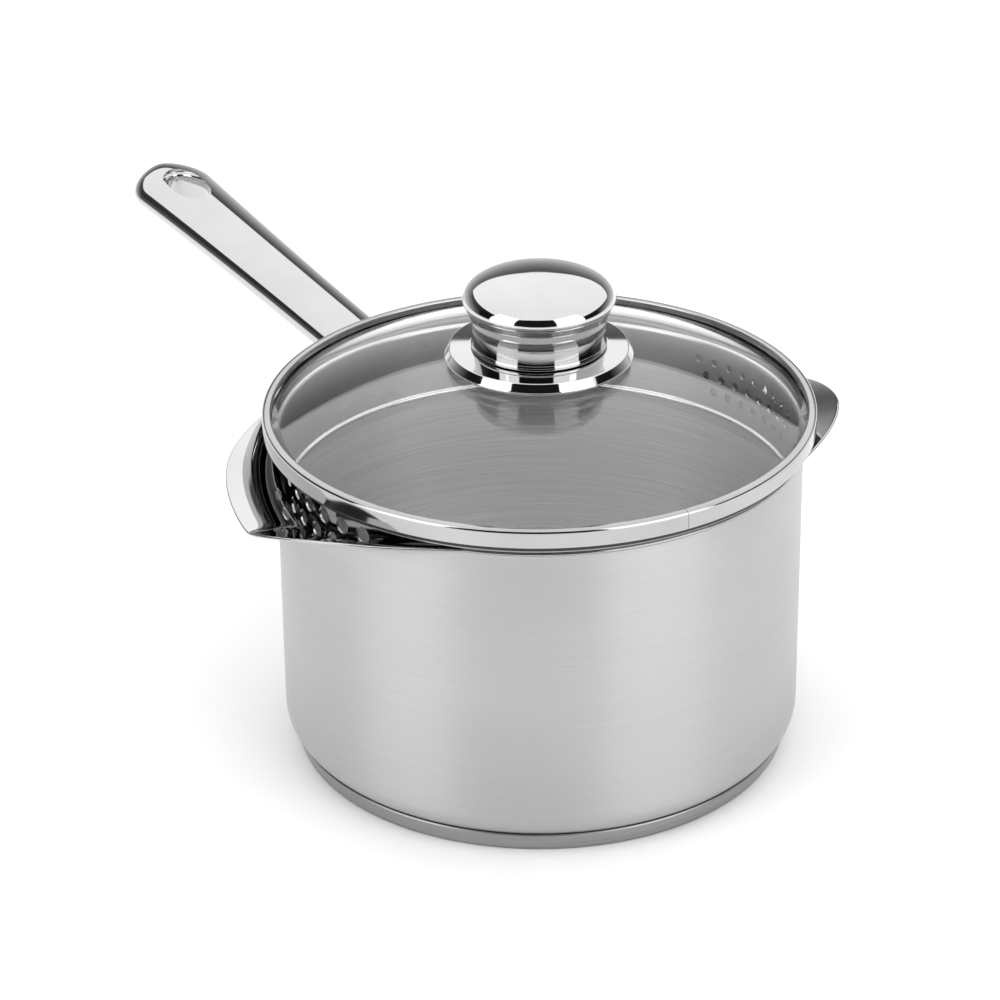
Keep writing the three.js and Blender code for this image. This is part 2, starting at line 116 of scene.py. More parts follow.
GASKET_INNER_R = 90.8
GASKET_OUTER_R = 94.7
GASKET_LIP_R = 93.8
GLASS_T = 4.0
GLASS_EDGE_R = 93.4
GLASS_TOP_Z = 146.6
GLASS_DOME_R = 206.0
GLASS_HOLE_R = 4.5
FLANGE_R = 32.6
FLANGE_BOTTOM_Z = 145.0
FLANGE_TOP_Z = 149.6
BEVEL_REACH = 1.7
LIP_R = 23.4
LIP_Z = 150.4
WAIST_R = 23.1
WAIST_Z = 159.0
KNOB_R = 26.3
KNOB_EDGE_Z = 166.6
KNOB_TOP_Z = 175.8
CROWN_SIDE_POWER = 0.8
CROWN_TOP_POWER = 0.9
CROWN_RIM = 0.4
SHELL_T = 1.0
SEAL_T = 0.8
SEAL_RADII = (10, 16, 22, 26)
UNDER_SEAL_Z = 141.0
BUSH_R = 11.0
BOLT_R = 2.0
BOLT_HOLE_R = 2.6
BOLT_TOP_Z = 162.0
SCREW_HEAD_R = 4.2
SCREW_HEAD_H = 2.6
DRIVE_WIDTH = 0.9
DRIVE_LENGTH = 4.4
WASHER_R = 9.0
WASHER_T = 1.0
LOCK_R = 4.1
LOCK_T = 0.9
COARSE_HOLES = {"az": 270, "r": 3.0, "pitch": 6.5, "rows": (111, 103.3), "first": 6}
FINE_HOLES = {"az": 88, "r": 1.5, "pitch": 4.7, "rows": (112, 106.5, 101), "first": 9}

ROUND_STEPS = 288
SMALL_STEPS = 96
PAN_STEPS = 720
SKIRT_STEPS = 480
FLARE_STEPS = 26
CORNER_STEPS = 14
HANDLE_SIDES = 96
HANDLE_STEPS = 150
HANDLE_END_STEPS = 24
BEVEL_STEPS = 8
GLASS_STEPS = 40
HOLE_SIDES = 32
EDGE_STEPS = 6
FILLET_STEPS = 6
FILLET_SHARE = 0.46
SUPPORT = 0.08
SUPPORT_SHARE = 0.03


# ---- mesh helpers ----
def rounded(outline, closed=True):
    """Points [r, z] of an outline of corners (r, z, fillet), each rounded if its fillet isn't 0."""
    points = []
    count = len(outline)
    for i, (r, z, fillet) in enumerate(outline):
        ends = not closed and i in (0, count - 1)
        corner = Vector((r, z))
        if fillet <= 0 or ends:
            points.append(corner)
            continue
        back = Vector(outline[i - 1][:2]) - corner
        ahead = Vector(outline[(i + 1) % count][:2]) - corner
        half = back.angle(ahead) / 2
        room = FILLET_SHARE * min(back.length, ahead.length)
        cut = min(fillet / math.tan(half), room)
        start = corner + back.normalized() * cut
        end = corner + ahead.normalized() * cut
        points.append(start + back.normalized() * min(SUPPORT, SUPPORT_SHARE * back.length))
        for k in range(FILLET_STEPS + 1):
            t = k / FILLET_STEPS
            points.append(start.lerp(corner, t).lerp(corner.lerp(end, t), t))
        points.append(end + ahead.normalized() * min(SUPPORT, SUPPORT_SHARE * ahead.length))
    return [(p.x, p.y) for p in points]


def as_object(name, vertices, faces, sharp=40):
    """A smooth-shaded closed mesh object in metres, faces pointing out."""
    mesh = bpy.data.meshes.new(name)
    mesh.from_pydata([Vector(v) * MM for v in vertices], [], faces)
    tidy = bmesh.new()
    tidy.from_mesh(mesh)
    bmesh.ops.recalc_face_normals(tidy, faces=tidy.faces)
    tidy.to_mesh(mesh)
    tidy.free()
    mesh.shade_smooth()
    mesh.set_sharp_from_angle(angle=math.radians(sharp))
    piece = bpy.data.objects.new(name, mesh)
    bpy.context.scene.collection.objects.link(piece)
    return piece


def columns_object(name, columns, closed=True, sharp=40):
    """A surface over columns of points set round an axis. A point on the axis is shared."""
    vertices, faces, index = [], [], []
    poles = {}
    for column in columns:
        row = []
        for j, p in enumerate(column):
            on_axis = abs(p[0]) < 1e-9 and abs(p[1]) < 1e-9
            if on_axis and j in poles:
                row.append(poles[j])
                continue
            if on_axis:
                poles[j] = len(vertices)
            row.append(len(vertices))
            vertices.append(p)
        index.append(row)
    high = len(columns[0])
    for i, row in enumerate(index):
        other = index[(i + 1) % len(index)]
        for j in range(high if closed else high - 1):
            k = (j + 1) % high
            face = []
            for v in (row[j], row[k], other[k], other[j]):
                if v not in face:
                    face.append(v)
            if len(face) > 2:
                faces.append(face)
    return as_object(name, vertices, faces, sharp)


def turned(name, outline, closed=True, steps=ROUND_STEPS, sharp=40):
    """An outline of (r, z, fillet) turned about Z."""
    profile = rounded(outline, closed)
    columns = []
    for i in range(steps):
        a = 2 * math.pi * i / steps
        columns.append([(r * math.cos(a), r * math.sin(a), z) for r, z in profile])
    return columns_object(name, columns, closed, sharp)


def skinned(name, rings, sharp=40):
    """A solid over closed rings of points, capped at both ends by an n-gon."""
    count = len(rings[0])
    vertices = [p for ring in rings for p in ring]
    faces = []
    for i in range(len(rings) - 1):
        for j in range(count):
            k = (j + 1) % count
            a, b = i * count + j, i * count + k
            faces.append([a, b, b + count, a + count])
    last = (len(rings) - 1) * count
    faces.append(list(range(count))[::-1])
    faces.append([last + j for j in range(count)])
    return as_object(name, vertices, faces, sharp)


def cut(piece, cutters, sharp=40):
    """Takes the cutters out of piece and removes them."""
    for cutter in cutters:
        tool = piece.modifiers.new("cut", "BOOLEAN")
        tool.operation = "DIFFERENCE"
        tool.solver = "EXACT"
        tool.object = cutter
        graph = bpy.context.evaluated_depsgraph_get()
        mesh = bpy.data.meshes.new_from_object(piece.evaluated_get(graph))
        piece.modifiers.remove(tool)
        piece.data = mesh
        bpy.data.objects.remove(cutter)
    piece.data.shade_smooth()
    piece.data.set_sharp_from_angle(angle=math.radians(sharp))
    return piece


def arc(centre_r, centre_z, radius, start, end, steps):
    points = []
    for i in range(steps + 1):
        a = math.radians(start + (end - start) * i / steps)
        points.append((centre_r + radius * math.cos(a), centre_z + radius * math.sin(a)))
    return points


def plain(points):
    return [(r, z, 0) for r, z in points]


# ---- materials ----
NOISE_LOW = 0.3
NOISE_HIGH = 0.7
BRUSHING_TURN = 0.25
BROAD_GRAIN = (14, 14, 22)
SMEAR_GRAIN = (35, 35, 35)
GLASS_SMEAR_GRAIN = (20, 20, 20)
GLASS_TINT = ((0.97, 0.978, 0.975), (0.985, 0.99, 0.988))
GLASS_ROUGH = 0.012
GLASS_IOR = 1.5
MOULDED_RELIEF = 0.00003
SEAM_AZ = -2.1
SEAM_HALF_WIDTH = 0.12
SEAM_COLOUR = (0.2, 0.2, 0.2, 1)


def grey(value):
    return (value, value, value)


def node_of(tree, kind, **inputs):
    node = tree.nodes.new(kind)
    for key, value in inputs.items():
        node.inputs[key.replace("_", " ")].default_value = value
    return node


def noise_of(tree, scale, detail=3.0):
    """Noise over the object's own coordinates, stretched by scale (cells per metre)."""
    coordinates = tree.nodes.new("ShaderNodeTexCoord")
    mapping = node_of(tree, "ShaderNodeMapping", Scale=scale)
    noise = node_of(tree, "ShaderNodeTexNoise", Scale=1.0, Detail=detail)
    tree.links.new(coordinates.outputs["Object"], mapping.inputs["Vector"])
    tree.links.new(mapping.outputs["Vector"], noise.inputs["Vector"])
    return noise.outputs["Fac"]


def spread(tree, source, low, high):
    """Noise, which mostly lies between NOISE_LOW and NOISE_HIGH, becomes low to high."""
    node = node_of(
        tree,
        "ShaderNodeMapRange",
        From_Min=NOISE_LOW,
        From_Max=NOISE_HIGH,
        To_Min=low,
        To_Max=high,
    )
    tree.links.new(source, node.inputs["Value"])
    return node.outputs["Result"]


def tint(tree, source, dark, light):
    node = tree.nodes.new("ShaderNodeMix")
    node.data_type = "RGBA"
    node.inputs[6].default_value = (*dark, 1)
    node.inputs[7].default_value = (*light, 1)
    tree.links.new(source, node.inputs[0])
    return node.outputs[2]


def bump(tree, source, shader, distance):
    node = node_of(tree, "ShaderNodeBump", Strength=1.0, Distance=distance)
    tree.links.new(source, node.inputs["Height"])
    tree.links.new(node.outputs["Normal"], shader.inputs["Normal"])


def material_of(name, **inputs):
    made = bpy.data.materials.new(name)
    made.use_nodes = True
    shader = made.node_tree.nodes["Principled BSDF"]
    for key, value in inputs.items():
        shader.inputs[key.replace("_", " ")].default_value = value
    return made, made.node_tree, shader


def grained_steel(name, grain, dark, light, rough, distance, anisotropic=0.0):
    """Steel with a grain: streaks of noise, long along the brushing and fine across it."""
    made, tree, shader = material_of(
        name, Metallic=1.0, Anisotropic=anisotropic, Anisotropic_Rotation=BRUSHING_TURN
    )
    fine = noise_of(tree, grain)
    broad = noise_of(tree, BROAD_GRAIN, 2.0)
    colour = tint(tree, spread(tree, fine, 0, 1), dark, light)
    tree.links.new(colour, shader.inputs["Base Color"])
    tree.links.new(spread(tree, broad, *rough), shader.inputs["Roughness"])
    bump(tree, fine, shader, distance)
    if anisotropic:
        tangent = tree.nodes.new("ShaderNodeTangent")
        tangent.direction_type = "RADIAL"
        tangent.axis = "Z"
        tree.links.new(tangent.outputs["Tangent"], shader.inputs["Tangent"])
    return made


def polished_steel(name, dark, light, rough):
    """Mirror-finished steel with faint smears."""
    made, tree, shader = material_of(name, Metallic=1.0)
    smear = noise_of(tree, SMEAR_GRAIN, 4.0)
    shade = tint(tree, spread(tree, smear, 0, 1), grey(dark), grey(light))
    tree.links.new(shade, shader.inputs["Base Color"])
    tree.links.new(spread(tree, smear, *rough), shader.inputs["Roughness"])
    return made


def add_seam(made, azimuth, half_width):
    """Darkens a thin upright line where a wrapped band's two ends are welded."""
    tree = made.node_tree
    shader = tree.nodes["Principled BSDF"]
    base = shader.inputs["Base Color"].links[0].from_socket
    across = tree.nodes.new("ShaderNodeVectorMath")
    across.operation = "DOT_PRODUCT"
    across.inputs[1].default_value = (-math.sin(azimuth), math.cos(azimuth), 0)
    along = tree.nodes.new("ShaderNodeVectorMath")
    along.operation = "DOT_PRODUCT"
    along.inputs[1].default_value = (math.cos(azimuth), math.sin(azimuth), 0)
    coordinates = tree.nodes.new("ShaderNodeTexCoord")
    tree.links.new(coordinates.outputs["Object"], across.inputs[0])
    tree.links.new(coordinates.outputs["Object"], along.inputs[0])
    near = tree.nodes.new("ShaderNodeMath")
    near.operation = "COMPARE"
    near.inputs[1].default_value = 0.0
    near.inputs[2].default_value = half_width
    tree.links.new(across.outputs["Value"], near.inputs[0])
    front = tree.nodes.new("ShaderNodeMath")
    front.operation = "GREATER_THAN"
    front.inputs[1].default_value = 0.0
    tree.links.new(along.outputs["Value"], front.inputs[0])
    both = tree.nodes.new("ShaderNodeMath")
    both.operation = "MULTIPLY"
    tree.links.new(near.outputs[0], both.inputs[0])
    tree.links.new(front.outputs[0], both.inputs[1])
    mix = tree.nodes.new("ShaderNodeMix")
    mix.data_type = "RGBA"
    mix.inputs[7].default_value = SEAM_COLOUR
    tree.links.new(both.outputs[0], mix.inputs[0])
    tree.links.new(base, mix.inputs[6])
    tree.links.new(mix.outputs[2], shader.inputs["Base Color"])


def clear_glass():
    made, tree, shader = material_of("clear_glass", Transmission_Weight=1.0, IOR=GLASS_IOR)
    smear = noise_of(tree, GLASS_SMEAR_GRAIN, 4.0)
    colour = tint(tree, spread(tree, smear, 0, 1), *GLASS_TINT)
    tree.links.new(colour, shader.inputs["Base Color"])
    tree.links.new(spread(tree, smear, 0.0, GLASS_ROUGH), shader.inputs["Roughness"])
    return made


def moulded(name, dark, light, rough, grain):
    """A soft or moulded black material with a fine matt grain."""
    made, tree, shader = material_of(name)
    fine = noise_of(tree, (grain, grain, grain), 3.0)
    colour = tint(tree, spread(tree, fine, 0, 1), dark, light)
    tree.links.new(colour, shader.inputs["Base Color"])
    tree.links.new(spread(tree, fine, *rough), shader.inputs["Roughness"])
    bump(tree, fine, shader, MOULDED_RELIEF)
    return made


BRUSHED = grained_steel(
    "brushed_steel",
    grain=(18, 18, 2600),
    dark=(0.47, 0.47, 0.468),
    light=(0.50, 0.50, 0.498),
    rough=(0.34, 0.40),
    distance=0.000004,
    anisotropic=0.75,
)
# A lighter copy of the brushed steel for the pan's inside: painted light, brighter than the
# outside's steel.
BRUSHED_IN_PAINTED_LIGHT = grained_steel(
    "brushed_inside_painted_light",
    grain=(18, 18, 2200),
    dark=grey(0.56),
    light=grey(0.72),
    rough=(0.34, 0.42),
    distance=0.00002,
    anisotropic=0.6,
)
# A much lighter copy of the brushed steel for the skirt's inner face: painted light, brighter than
# any of the other steel.
SKIRT_STEEL_PAINTED_LIGHT = grained_steel(
    "brushed_skirt_painted_light",
    grain=(18, 18, 2600),
    dark=grey(0.80),
    light=grey(0.88),
    rough=(0.26, 0.34),
    distance=0.000012,
    anisotropic=0.6,
)
# A darker copy of the brushed steel for the base cup: painted shade at the foot of the pan.
BASE_STEEL_PAINTED_SHADE = grained_steel(
    "base_steel_painted_shade",
    grain=(18, 18, 3000),
    dark=grey(0.31),
    light=grey(0.39),
    rough=(0.38, 0.46),
    distance=0.00001,
    anisotropic=0.5,
)
SATIN = grained_steel(
    "satin_steel",
    grain=(60, 60, 3000),
    dark=grey(0.50),
    light=grey(0.60),
    rough=(0.32, 0.42),
    distance=0.00001,
)
POLISHED = polished_steel("polished_steel", dark=0.61, light=0.66, rough=(0.035, 0.06))
# A slightly darker copy of the polished steel for the handle: painted shade.
HANDLE_STEEL_PAINTED_SHADE = polished_steel("handle_steel_painted_shade", dark=0.56, light=0.60, rough=(0.035, 0.06))
# The lid band's steel is rougher than the polished steel, a real satin finish, and is given a
# darker tone as painted shade.
BAND_STEEL_PAINTED_SHADE = polished_steel("band_steel_painted_shade", dark=0.44, light=0.50, rough=(0.08, 0.12))
add_seam(BAND_STEEL_PAINTED_SHADE, math.radians(SEAM_AZ), SEAM_HALF_WIDTH * MM)
# A darker copy of the polished steel for the knob's collar and the skirt's bottom bead: painted
# shade.
SLEEVE_STEEL_PAINTED_SHADE = polished_steel("sleeve_steel_painted_shade", dark=0.42, light=0.46, rough=(0.03, 0.05))
# A dark copy of the polished steel for the bend of the pan's flare and the skirt's outer face:
# painted shade where they sit under the lid.
BEND_STEEL_PAINTED_SHADE = polished_steel("bend_steel_painted_shade", dark=0.26, light=0.32, rough=(0.06, 0.10))
ALUMINIUM = grained_steel(
    "aluminium",
    grain=(400, 400, 400),
    dark=(0.60, 0.61, 0.62),
    light=(0.72, 0.73, 0.74),
    rough=(0.42, 0.52),
    distance=0.00002,
)
BRASS = grained_steel(
    "brass",
    grain=(300, 300, 3000),
    dark=(0.52, 0.38, 0.20),
    light=(0.64, 0.50, 0.28),
    rough=(0.28, 0.38),
    distance=0.00001,
)
GLASS = clear_glass()
SILICONE = moulded(
    "silicone",
    dark=(0.012, 0.012, 0.013),
    light=(0.03, 0.03, 0.032),
    rough=(0.5, 0.62),
    grain=900,
)
PHENOLIC = moulded(
    "phenolic",
    dark=(0.018, 0.018, 0.019),
    light=(0.035, 0.035, 0.036),
    rough=(0.42, 0.55),
    grain=1400,
)


def place(piece, node, body, slot, *materials):
    """piece stands for a CAD node, rides on its body and takes the given materials. slot is not
    used.
    """
    for material in materials:
        piece.data.materials.append(material)
    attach(piece, body)
    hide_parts(node)
    return piece


# ---- pan body ----
def from_spout(az):
    """Signed degrees from the nearest spout's axis."""
    turns = [((az - s + 540) % 360) - 180 for s in SPOUT_AZ]
    return min(turns, key=abs)


def rim_reach(az):
    """How far the rim stands out past the wall. The +Y spout is the blunter one."""
    turn = from_spout(az)
    t = abs(turn) / (SPOUT_SIDE_BACK if turn < 0 else SPOUT_SIDE_FRONT)
    if t >= 1:
        return RIM_REACH
    blunt = math.sqrt(t * t + SPOUT_ROUNDING_SHARE) - math.sqrt(SPOUT_ROUNDING_SHARE)
    fall = max(0.0, 1 - blunt * SPOUT_NARROWING_SHARE)
    eased = fall * fall * (3 - 2 * fall)
    share = SPOUT_STRAIGHT_SHARE * fall + (1 - SPOUT_STRAIGHT_SHARE) * eased
    reach = RIM_REACH + (SPOUT_REACH - RIM_REACH) * share
    if az % 360 < 180:
        over = reach - BLUNT_REACH
        reach = BLUNT_REACH + (over - math.hypot(over, BLUNT_SOFTNESS)) / 2
    return max(reach, RIM_REACH)


def near_tip(az):
    """1 at a spout's tip, falling smoothly to 0 at its shoulders."""
    turn = math.hypot(from_spout(az), TIP_SOFTNESS) - TIP_SOFTNESS
    return (1 - min(1.0, turn / SPOUT_DIP_SIDE)) ** 2


def rim_height(az):
    return RIM_Z - SPOUT_DIP * near_tip(az)


def flare(az, steps):
    """Inside of the flare, from the plain wall to the rim: points and unit tangents."""
    reach, rim_z = rim_reach(az), rim_height(az)
    slope = LIP_SLOPE_SIDE + (LIP_SLOPE_TIP - LIP_SLOPE_SIDE) * near_tip(az)
    bend_z = rim_z - LIP_SHARE * reach * math.tan(math.radians(slope))
    steep = BEND_DEPTH + BEND_REACH_SHARE * reach
    wall_r = BODY_R - WALL
    a = Vector((wall_r, bend_z - steep))
    b = Vector((wall_r, bend_z - BEND_TIGHT * steep))
    c = Vector((wall_r + BEND_TIGHT * (reach + WALL), bend_z))
    d = Vector((BODY_R + reach, rim_z))
    out = []
    for i in range(steps + 1):
        t = i / steps
        p = a * (1 - t) ** 3 + b * 3 * t * (1 - t) ** 2 + c * 3 * t * t * (1 - t) + d * t**3
        tangent = (b - a) * (1 - t) ** 2 + (c - b) * 2 * t * (1 - t) + (d - c) * t * t
        out.append((p, tangent.normalized()))
    return out


def pan_column(az):
    """One column of the pan, from the underside's middle round the rim to the floor's middle."""
    centre_r, centre_z = BODY_R - CORNER_R, UNDERSIDE_Z + CORNER_R
    bends = flare(az, FLARE_STEPS)
    floor_radii = (0, FLOOR_MIDWAY_R, centre_r - 0.5)
    outside = [(r, UNDERSIDE_Z) for r in floor_radii]
    outside += arc(centre_r, centre_z, CORNER_R, -90, 0, CORNER_STEPS)
    inside = [(r, UNDERSIDE_Z + WALL) for r in floor_radii]
    inside += arc(centre_r, centre_z, CORNER_R - WALL, -90, 0, CORNER_STEPS)
    for z in BODY_LEVELS:
        outside.append((BODY_R, z))
        inside.append((BODY_R - WALL, z))
    for p, tangent in bends[:-1]:
        outside.append((p.x + WALL * tangent.y, p.y - WALL * tangent.x))
        inside.append((p.x, p.y))
    p, tangent = bends[-1]
    across = Vector((tangent.y, -tangent.x))
    middle = p + across * WALL / 2 - tangent * WALL / 2
    edge = []
    for k in range(EDGE_STEPS + 1):
        a = math.radians(90 - 180 * k / EDGE_STEPS)
        edge.append(middle + (across * math.sin(a) + tangent * math.cos(a)) * (WALL / 2))
    return outside + [(q.x, q.y) for q in edge] + inside[::-1]


def make_pan_body():
    columns = []
    for i in range(PAN_STEPS):
        az = 360 * i / PAN_STEPS
        a = math.radians(az)
        columns.append([(r * math.cos(a), r * math.sin(a), z) for r, z in pan_column(az)])
    piece = columns_object("pan_shell", columns, closed=False, sharp=60)
    finishes = (BRUSHED, POLISHED, BRUSHED_IN_PAINTED_LIGHT, BEND_STEEL_PAINTED_SHADE)
    for face in piece.data.polygons:
        centre = face.center / MM
        radius = math.hypot(centre.x, centre.y)
        inward = face.normal.dot(Vector((centre.x, centre.y, 0))) < INWARD_NORMAL * radius
        bent = radius > BODY_R - WALL + PAST_WALL and centre.z > FLARE_BOTTOM_Z
        # On the flare, flatter faces keep the polished steel and steeper faces of the bend take the
        # dark bend steel: painted shade in the crease under the lid band.
        if bent and (inward or face.normal.z > UPWARD_NORMAL):
            finish = POLISHED if face.normal.z > FLAT_NORMAL else BEND_STEEL_PAINTED_SHADE
            face.material_index = finishes.index(finish)
        # Faces inside the pan take the lighter inside steel: painted light.
        elif inward and centre.z > UNDERSIDE_Z + WALL / 2:
            face.material_index = finishes.index(BRUSHED_IN_PAINTED_LIGHT)
    return place(piece, "pan_body", "pan", "brushed_steel", *finishes)


def make_base_cap():
    outline = [
        (0, 0, 0),
        (BASE_R - 0.6, 0, 0.7),
        (BASE_R + 0.1, 1.2, 1.0),
        (BASE_TOP_R, BASE_TOP_Z - 0.8, 0.3),
        (BASE_TOP_R - 0.3, BASE_TOP_Z - 0.2, 0.15),
        (BASE_TOP_R - 0.7, BASE_TOP_Z - 0.6, 0.1),
        (BASE_R - CAP_SHEET, 1.4, 0.4),
        (BASE_R - 1.5, CAP_SHEET, 0.3),
        (0, CAP_SHEET, 0),
    ]
    piece = turned("base_cup", outline, False)
    # The base cup wears the darker base steel: painted shade.
    return place(piece, "base_cap", "pan", "satin_steel", BASE_STEEL_PAINTED_SHADE)


# ---- handle ----
def superellipse(width, height, power):
    points = []
    for i in range(HANDLE_SIDES):
        a = 2 * math.pi * i / HANDLE_SIDES
        c, s = math.cos(a), math.sin(a)
        across = math.copysign(abs(c) ** power, c) * width / 2
        points.append((across, math.copysign(abs(s) ** power, s) * height / 2))
    return points


def handle_z(x):
    return HANDLE_ROOT_Z + HANDLE_RISE * (HANDLE_START_X - x)


def handle_thickness(x):
    along = (HANDLE_START_X - x) / (HANDLE_START_X - HANDLE_END_X)
    return HANDLE_ROOT_T + (HANDLE_END_T - HANDLE_ROOT_T) * along**2


def handle_ring(x):
    along = (HANDLE_START_X - x) / (HANDLE_START_X - HANDLE_END_X)
    end_r = HANDLE_END_W / 2
    to_end = (x - HANDLE_END_X) / end_r
    round_off = 1.0 if to_end >= 1 else math.sqrt(max(1 - (1 - to_end) ** 2, 0.0004))
    width = (HANDLE_ROOT_W + (HANDLE_END_W - HANDLE_ROOT_W) * along**2) * round_off
    thick = handle_thickness(x) * round_off**0.5
    power = ROOT_POWER + (END_POWER - ROOT_POWER) * along**2
    section = superellipse(width, thick, power)
    return [(x, y, handle_z(x) + dz) for y, dz in section]


def make_handle():
    end_r = HANDLE_END_W / 2
    stations = []
    straight = HANDLE_END_X + end_r - HANDLE_START_X
    for i in range(HANDLE_STEPS + 1):
        stations.append(HANDLE_START_X + straight * i / HANDLE_STEPS)
    for i in range(1, HANDLE_END_STEPS + 1):
        a = math.pi / 2 * i / HANDLE_END_STEPS
        stations.append(HANDLE_END_X + end_r * (1 - math.sin(a)))
    piece = skinned("handle_bar", [handle_ring(x) for x in stations], 50)
    top = handle_z(HANG_HOLE_X)
    half = handle_thickness(HANG_HOLE_X) / 2
    rings = [(-half - CUT_PAST, HOLE_UNDERCUT), (-half, HOLE_UNDERCUT)]
    rings += [(half - HOLE_LAND_BOTTOM, 0.3), (half - HOLE_LAND_TOP, 0)]
    for k in range(1, BEVEL_STEPS + 1):
        a = math.pi / 2 * k / BEVEL_STEPS
        rings.append((half - HOLE_BEVEL * (1 - math.sin(a)), HOLE_BEVEL * (1 - math.cos(a))))
    rings.append((half + CUT_PAST, HOLE_BEVEL))
    loops = []
    for dz, grow in rings:
        loop = []
        for i in range(HANDLE_SIDES):
            a = 2 * math.pi * i / HANDLE_SIDES
            x = HANG_HOLE_X + (HANG_HOLE_LENGTH / 2 + grow) * math.cos(a)
            loop.append((x, (HANG_HOLE_WIDTH / 2 + grow) * math.sin(a), top + dz))
        loops.append(loop)
    cutter = skinned("cutter", loops)
    cut(piece, [cutter], 50)
    # The handle wears the slightly darker handle steel: painted shade.
    return place(piece, "handle", "pan", "polished_steel", HANDLE_STEEL_PAINTED_SHADE)


def make_handle_bracket():
    inner = BODY_R + GAP

    def plate(scale, proud):
        ring = []
        for y, dz in superellipse(PLATE_W * scale, PLATE_H * scale, PLATE_POWER):
            ring.append((-math.sqrt(inner**2 - y**2) - proud, y, HANDLE_ROOT_Z + dz))
        return ring

    def boss(scale, x):
        section = superellipse(HANDLE_ROOT_W * scale, HANDLE_ROOT_T * scale, ROOT_POWER)
        return [(x, y, HANDLE_ROOT_Z + dz) for y, dz in section]

    rings = [plate(s, 0) for s in (0.1, 0.3, 0.5, 0.7, 0.85, 0.98)]
    rings += [plate(scale, proud) for scale, proud in PLATE_EDGE]
    start = -inner - PLATE_T
    rings += [boss(scale, start - out) for scale, out in WELD_FILLET]
    rings.append(boss(1.0, HANDLE_START_X + GAP))
    piece = skinned("weld_plate", rings)
    return place(piece, "handle_bracket", "pan", "polished_steel", POLISHED)


# ---- lid ----
def glass_top(r):
    return GLASS_TOP_Z - GLASS_DOME_R + math.sqrt(GLASS_DOME_R**2 - r**2)


def make_lid_glass():
    wide = GLASS_EDGE_R - 1 - GLASS_HOLE_R
    radii = [GLASS_HOLE_R + wide * i / GLASS_STEPS for i in range(GLASS_STEPS + 1)]
    edge_z = glass_top(GLASS_EDGE_R)
    outline = plain([(r, glass_top(r)) for r in radii])
    outline += [(GLASS_EDGE_R, edge_z - 0.8, 0.6), (GLASS_EDGE_R, edge_z - 3.2, 0.6)]
    outline += plain([(r, glass_top(r) - GLASS_T) for r in radii[::-1]])
    return place(turned("glass_dome", outline), "lid_glass", "lid", "glass", GLASS)


def make_lid_rim():
    lip = glass_top(BAND_INNER_R) + GAP
    outline = [
        (LID_R - 0.1, BAND_BOTTOM_Z, 0.2),
        (LID_R, BAND_BOTTOM_Z + 2.5, 2.0),
        (LID_R, BAND_TOP_Z, 1.5),
        (BAND_INNER_R, BAND_TOP_Z, 0.6),
        (BAND_INNER_R, lip, 0.15),
        (BAND_INNER_R + BAND_SHEET, lip, 0.15),
        (BAND_INNER_R + BAND_SHEET, BAND_TOP_Z - BAND_SHEET, 0.2),
        (LID_R - BAND_SHEET, BAND_TOP_Z - BAND_SHEET, 0.7),
        (LID_R - BAND_SHEET, BAND_BOTTOM_Z, 0.2),
    ]
    # The band wears the darker band steel: a real satin finish with painted shade in its tone.
    return place(turned("steel_band", outline), "lid_rim", "lid", "polished_steel", BAND_STEEL_PAINTED_SHADE)


def make_rim_gasket():
    floor = RIM_Z + 2 * GAP + SKIRT_SHEET + GAP

    def under(r):
        return glass_top(r) - GLASS_T - GAP

    outline = [
        (GASKET_INNER_R, floor, 0.3),
        (GASKET_OUTER_R, floor, 0.3),
        (GASKET_OUTER_R, under(92) + 0.4, 0.2),
        (GASKET_LIP_R, under(92) + 0.4, 0.1),
        (GASKET_LIP_R - 0.3, under(GASKET_LIP_R - 0.3), 0),
        (GASKET_INNER_R, under(GASKET_INNER_R), 0.2),
    ]
    return place(turned("glass_seal", outline), "rim_gasket", "lid", "silicone", SILICONE)


def hole_cutters(group):
    made = []
    az, radius, pitch = group["az"], group["r"], group["pitch"]
    for row, z in enumerate(group["rows"]):
        count = group["first"] - row
        for i in range(count):
            turn = math.radians(az + pitch * (i - (count - 1) / 2))
            loops = []
            for x in (SKIRT_R - CUT_PAST, SKIRT_R + CUT_PAST):
                loop = []
                for k in range(HOLE_SIDES):
                    a = 2 * math.pi * k / HOLE_SIDES
                    y, dz = radius * math.cos(a), radius * math.sin(a)
                    px = x * math.cos(turn) - y * math.sin(turn)
                    py = x * math.sin(turn) + y * math.cos(turn)
                    loop.append((px, py, z + dz))
                loops.append(loop)
            made.append(skinned("cutter", loops))
    return made


def joined(pieces):
    """One object out of several, for a single cut."""
    whole = bmesh.new()
    for piece in pieces:
        whole.from_mesh(piece.data)
    mesh = bpy.data.meshes.new("cutters")
    whole.to_mesh(mesh)
    whole.free()
    for piece in pieces:
        bpy.data.objects.remove(piece)
    out = bpy.data.objects.new("cutters", mesh)
    bpy.context.scene.collection.objects.link(out)
    return out


